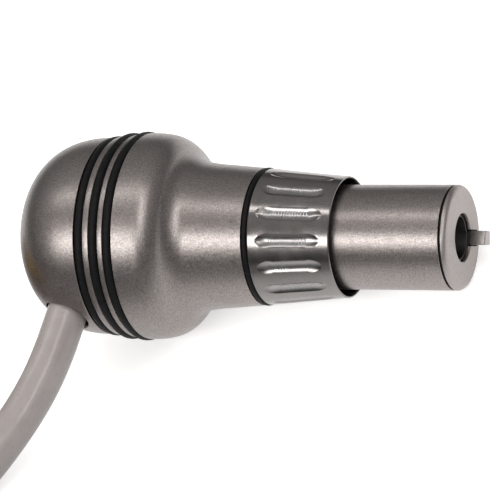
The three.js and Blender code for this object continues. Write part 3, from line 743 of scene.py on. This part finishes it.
KEY_DEG, KEY_IN, KEY_OUT, KEY_W, KEY_TIP = -45.0, 3.42, 5.9, 2.15, 56.25
carve(cap, [box_cutter((8, 3.3, KEY_W + 0.36), (FACE_S - 1.3, 3.1 + 1.65 - 0.1, 0), KEY_DEG)])


def key_mesh():
    bm = bmesh.new()
    tip, r = KEY_TIP, 0.62
    prof = [(50.0, 4.1), (53.7, 4.1), (53.7, KEY_IN)]
    for k in range(7):
        t = math.pi / 2 * k / 6
        prof.append((tip - r * 0.7 + r * 0.7 * math.sin(t), KEY_IN + r * 0.7 - r * 0.7 * math.cos(t)))
    for k in range(7):
        t = math.pi / 2 * k / 6
        prof.append((tip - r + r * math.cos(t), KEY_OUT - r + r * math.sin(t)))
    prof.append((50.0, KEY_OUT))
    lower = [bm.verts.new((s * MM, y * MM, -KEY_W / 2 * MM)) for s, y in prof]
    upper = [bm.verts.new((s * MM, y * MM, KEY_W / 2 * MM)) for s, y in prof]
    bm.faces.new(lower[::-1]); bm.faces.new(upper)
    for k in range(len(prof)):
        j = (k + 1) % len(prof)
        bm.faces.new((lower[k], lower[j], upper[j], upper[k]))
    bm.normal_update()
    edges = [e for e in bm.edges if (e.calc_face_angle(0) > math.radians(60))]
    bmesh.ops.bevel(bm, geom=edges, offset=0.16 * MM, segments=3, profile=0.5, affect="EDGES", clamp_overlap=True)
    bmesh.ops.triangulate(bm, faces=[f for f in bm.faces if len(f.verts) > 4])
    verts = [tuple(v.co) for v in bm.verts]
    bm.verts.index_update()
    faces = [[v.index for v in f.verts] for f in bm.faces]
    bm.free()
    return verts, faces


v, f = key_mesh()
solid("index_tang", v, f, M_KEY, "nose_barrel", ("index_key",), 40, TOOL @ Matrix.Rotation(math.radians(KEY_DEG), 4, "X"))
lathe("bore_sleeve", rounded([(40.0, 3.175), (40.0, 4.6), (47.6, 4.6), (47.6, 3.8), (53.05, 3.8), (53.05, 3.48), (53.3, 3.42), (53.3, 3.175)], 0.07), M_BORE_SHADE, "nose_barrel", ("tool_socket",), 128)
torus("cushion_ring", 39.1, 4.2, 0.42, M_RUBBER, "nose_barrel", ("cushion_oring",), 96, 20)
striker_spring = spring("striker_spring", 30.25, 38.4, 3.55, 0.3, 5, "nose_barrel", "hammer_spring")
lathe("striker", rounded([(12, 0), (12, 4.5), (14.3, 4.5), (14.3, 3.9), (15.9, 3.9), (15.9, 4.5), (30, 4.5), (30, 2.6), (37.6, 2.6), (38, 2.2), (38, 0)], 0.2, False), M_STEEL, "hammer", ("hammer",), 96, False)
lathe("striker_seal", rounded([(14.5, 4.05), (14.5, 4.68), (15.7, 4.68), (15.7, 4.05)], 0.12), M_PTFE, "hammer", ("piston_ring",), 96)

# --------------------------------------------------------------- stroke ring
RING = {"s0": 23.12, "s1": 35.8, "r0": 10.42, "r1": 9.22}
FLUTES, PHASE, F0, F1, FW, RHO, RAMP = 15, 138.8, 24.25, 34.45, 1.12, 1.72, 2.1


def taper(s):
    return RING["r0"] + (s - RING["s0"]) / (RING["s1"] - RING["s0"]) * (RING["r1"] - RING["r0"])


def flute_half(s):
    """Half width of a flute at station s, in mm."""
    if s <= F0 or s >= F1:
        return 0.0
    k = min(s - F0, F1 - s) / RAMP
    return FW * (1 - (1 - min(1, k)) ** 2.0) ** 0.72


def ring_mesh():
    inside, land = 18, 7
    cols = [(-1 + 2 * k / inside, None) for k in range(inside + 1)] + [(None, k / (land + 1)) for k in range(1, land + 1)]
    per = len(cols)
    rows = []
    outer = [(RING["s0"], RING["r0"] - 0.14), (RING["s0"] + 0.04, RING["r0"] - 0.05), (RING["s0"] + 0.14, taper(RING["s0"] + 0.14))]
    s = RING["s0"] + 0.5
    stations = [s, F0 - 0.15]
    stations += list(F0 + RAMP * (np.linspace(0, 1, 19) ** 1.6))
    stations += list(np.linspace(F0 + RAMP, F1 - RAMP, 85)[1:-1])
    stations += list(F1 - RAMP * (np.linspace(1, 0, 19) ** 1.6))
    stations += [F1 + 0.15, RING["s1"] - 0.4]
    outer += [(x, taper(x)) for x in stations]
    outer += [(RING["s1"] - 0.14, taper(RING["s1"] - 0.14)), (RING["s1"] - 0.04, RING["r1"] - 0.05), (RING["s1"], RING["r1"] - 0.13)]
    inner = rounded([(RING["s1"], RING["r1"] - 0.13), (RING["s1"], 9.0), (RING["s1"] - 0.5, 8.85), (30.2, 8.85), (30.2, 9.2), (28.95, 9.2), (28.95, 8.6), (28.5, 8.6), (28.5, 9.1), (25.6, 9.1), (25.6, 8.6), (23.5, 8.6), (RING["s0"], 8.95), (RING["s0"], RING["r0"] - 0.14)], 0.06, False, (), 2)[1:-1]
    verts, rings = [], []
    mid0, mid1 = F0 + RAMP, F1 - RAMP
    for s, r in outer + inner:
        w = flute_half(s) if (s, r) in outer else 0.0
        on_outer = (s, r) in outer and F0 - 0.2 < s < F1 + 0.2
        ring = []
        for fl in range(FLUTES):
            for t, l in cols:
                half = max(w, 0.03) / r
                if t is not None:
                    ang, depth = t * half, 0.0
                    if on_outer and w > 0:
                        x = t * w
                        depth = math.sqrt(max(0, RHO**2 - x * x)) - math.sqrt(RHO**2 - w * w)
                        if mid0 < s < mid1:
                            edge = min(1, (s - mid0) / 0.3, (mid1 - s) / 0.3)
                            depth += 0.03 * edge * math.cos(math.pi / 2 * t) * (1 + math.sin(2 * math.pi * (s - mid0) / 0.43 + 0.9 * math.sin(fl * 2.1)))
                            depth += 0.02 * edge * max(0.0, 1 - t * t)
                    rr = r - depth
                else:
                    ang, rr = half + l * (2 * math.pi / FLUTES - 2 * half), r
                th = math.radians(PHASE + 24 * fl) + ang
                ring.append(len(verts)); verts.append((s * MM, rr * MM * math.cos(th), rr * MM * math.sin(th)))
        rings.append(ring)
    faces = []
    m = len(rings[0])
    for p, q in zip(rings, rings[1:] + rings[:1]):
        for k in range(m):
            j = (k + 1) % m
            faces.append((p[k], p[j], q[j], q[k]))
    return verts, faces


def ring_steel():
    """Polished skin with paler milled flutes, told apart by how far a point lies under the taper."""
    m = Nodes("polished_ring")
    place = m.new("ShaderNodeMapping")
    inv = TOOL.inverted()
    place.inputs["Rotation"].default_value = (0, -TILT, 0)
    place.inputs["Location"].default_value = tuple(inv.translation)
    m.link(m.coord.outputs["Object"], place.inputs["Vector"])
    sep_ = m.new("ShaderNodeSeparateXYZ")
    m.link(place.outputs["Vector"], sep_.inputs[0])

    def op(kind, a_, b_=None):
        n_ = m.new("ShaderNodeMath", operation=kind)
        for i_, x_ in enumerate((a_, b_)):
            if x_ is None:
                continue
            if isinstance(x_, (int, float)):
                n_.inputs[i_].default_value = x_
            else:
                m.link(x_, n_.inputs[i_])
        return n_.outputs[0]
    radius = op("SQRT", op("ADD", op("MULTIPLY", sep_.outputs["Y"], sep_.outputs["Y"]), op("MULTIPLY", sep_.outputs["Z"], sep_.outputs["Z"])))
    slope_ = (RING["r1"] - RING["r0"]) / (RING["s1"] - RING["s0"])
    skin_r = op("ADD", op("MULTIPLY", sep_.outputs["X"], slope_), (RING["r0"] - slope_ * RING["s0"]) * MM)
    milled = m.remap(op("SUBTRACT", skin_r, radius), 0.0, 1.0, 0.00012, 0.00034)
    rings = m.noise(1.0, 3.0, 0.7, m.mapped((9000, 60, 60), (0, -TILT, 0)))
    cloud = m.noise(420, 3.0, 0.6)
    grain = m.noise(4200, 2.0, 0.6)
    col = m.ramp(milled, [(0.0, (0.245, 0.231, 0.226)), (1.0, (0.36, 0.352, 0.350))])
    col = m.mul(col, m.ramp(grain, [(0.3, (0.86, 0.86, 0.86)), (0.7, (1, 1, 1))]))
    col = m.mul(col, m.ramp(cloud, [(0.3, (0.9, 0.895, 0.89)), (0.7, (1, 1, 1))]))
    m.set(Metallic=1.0)
    rough = op("ADD", m.remap(cloud, 0.15, 0.24), op("MULTIPLY", milled, 0.07))
    nrm = m.bump(rings, 0.000006, 0.35)
    nrm = m.bump(grain, 0.00001, 0.25, nrm)
    return m.out(col, rough, nrm)


M_RING = ring_steel()
v, f = ring_mesh()
solid("fluted_ring", v, f, M_RING, "stroke_ring", ("stroke_ring",), 24, TOOL)

collar = lathe("stop_collar", rounded([(24.0, 6.3), (24.0, 7.2), (28.4, 7.2), (28.4, 6.3)], 0.12), M_BRONZE, "stroke_stop", ("stroke_stop",), 96)
for i, t in enumerate((90, 270)):
    m = TOOL @ Matrix.Rotation(math.radians(-t), 4, "X") @ Matrix.Translation(Vector((26.3, 0, 6.4)) * MM) @ Matrix.Rotation(math.radians(-90), 4, "Y")
    lathe("stop_dowel_" + "ab"[i], rounded([(0, 0), (0, 0.55), (2.4, 0.55), (2.4, 0)], 0.1, False), M_STEEL, "stroke_stop", ("stop_pin_" + "ab"[i],), 40, False, m)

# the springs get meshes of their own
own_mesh(return_spring)
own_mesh(valve_spring)
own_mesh(striker_spring)

# --------------------------------------------------------------- floor, light
mesh = bpy.data.meshes.new("floor")
mesh.from_pydata([(-3, -3, -0.0002), (3, -3, -0.0002), (3, 3, -0.0002), (-3, 3, -0.0002)], [], [(0, 1, 2, 3)])
floor = bpy.data.objects.new("floor", mesh)
bpy.context.scene.collection.objects.link(floor)
fm = Nodes("floor_paper")
fm.set(Roughness=0.9, Specular_IOR_Level=0.1, Emission_Color=(1, 1, 1, 1), Emission_Strength=0.55)
flp = fm.new("ShaderNodeLightPath")
fsep = fm.new("ShaderNodeSeparateXYZ")
fm.link(fm.coord.outputs["Object"], fsep.inputs[0])
# Painted shade: for rays other than the camera's, the floor darkens and glows less towards -Y (from y = -0.008 m to
# -0.065 m), so the metal reflects a painted dark floor there; camera rays see the floor evenly bright.
near = fm.remap(fsep.outputs["Y"], 0.16, 1.0, -0.065, -0.008)
keep_ = fm.new("ShaderNodeMath", operation="MAXIMUM")
fm.link(near, keep_.inputs[0])
fm.link(flp.outputs["Is Camera Ray"], keep_.inputs[1])
glow = fm.new("ShaderNodeMath", operation="MULTIPLY")
fm.link(keep_.outputs[0], glow.inputs[0])
glow.inputs[1].default_value = 0.55
fm.link(glow.outputs[0], fm.bsdf.inputs["Emission Strength"])
shade = fm.ramp(keep_.outputs[0], [(0.0, (0.1, 0.1, 0.1)), (1.0, (1, 1, 1))])
paper = fm.ramp(fm.noise(40, 3.0), [(0.3, (0.86, 0.86, 0.86)), (0.7, (0.88, 0.88, 0.88))])
mesh.materials.append(fm.out(fm.mul(paper, shade)))

world = bpy.data.worlds.new("studio")
bpy.context.scene.world = world
world.use_nodes = True
wt = world.node_tree
for x in list(wt.nodes):
    wt.nodes.remove(x)
wout = wt.nodes.new("ShaderNodeOutputWorld")
bg = wt.nodes.new("ShaderNodeBackground")
tc = wt.nodes.new("ShaderNodeTexCoord")
sep = wt.nodes.new("ShaderNodeSeparateXYZ")
wr = wt.nodes.new("ShaderNodeValToRGB")
el = wr.color_ramp.elements
stops = [(0.0, 0.25), (0.49, 0.25), (0.505, 0.12), (0.60, 0.12), (0.72, 0.36), (1.0, 0.5)]
while len(el) < len(stops):
    el.new(0.5)
for e, (p, c) in zip(el, stops):
    e.position, e.color = p, (c, c * 0.985, c * 0.97, 1)
mr = wt.nodes.new("ShaderNodeMapRange")
mr.inputs["From Min"].default_value, mr.inputs["From Max"].default_value = -1, 1
wt.links.new(tc.outputs["Generated"], sep.inputs[0])
wt.links.new(sep.outputs["Z"], mr.inputs["Value"])
wt.links.new(mr.outputs["Result"], wr.inputs["Fac"])
lp = wt.nodes.new("ShaderNodeLightPath")
mixw = wt.nodes.new("ShaderNodeMix"); mixw.data_type = "RGBA"
wt.links.new(lp.outputs["Is Camera Ray"], mixw.inputs[0])
wt.links.new(wr.outputs["Color"], mixw.inputs[6])
mixw.inputs[7].default_value = (1, 1, 1, 1)
wt.links.new(mixw.outputs[2], bg.inputs["Color"])
bg.inputs["Strength"].default_value = 1.0
wt.links.new(bg.outputs[0], wout.inputs["Surface"])


def softbox(name, ax, angle_deg, distance, along, across, radiance, target_s=20.0):
    """An area light seen from the tool in the direction ax along the axis and angle_deg round it (from +Y up to the tool's own Z)."""
    target = row(target_s, 0, 0)
    side = math.sqrt(1 - ax * ax)
    t = math.radians(angle_deg)
    d = (TOOL.to_3x3() @ Vector((ax, side * math.cos(t), side * math.sin(t)))).normalized()
    light = bpy.data.lights.new(name, "AREA")
    light.shape, light.size, light.size_y = "RECTANGLE", along, across
    light.energy = radiance * math.pi * along * across     # watts for that radiance
    light.color = (1.0, 0.985, 0.965)
    ob = bpy.data.objects.new(name, light)
    bpy.context.scene.collection.objects.link(ob)
    z = d                                     # the light shines along its own -Z
    x = (AXIS - z * AXIS.dot(z)).normalized()
    y = z.cross(x)
    p = target + d * distance
    ob.matrix_world = Matrix(((x.x, y.x, z.x, p.x), (x.y, y.y, z.y, p.y), (x.z, y.z, z.z, p.z), (0, 0, 0, 1)))
    return ob


softbox("front_box", -0.30, 143, 0.8, 0.75, 0.24, 6.2)
softbox("top_strip", -0.25, 88, 0.8, 1.0, 0.07, 6.0)
softbox("right_box", 0.42, 112, 0.8, 0.16, 0.75, 4.6)
bpy.context.scene.view_settings.view_transform = "Standard"
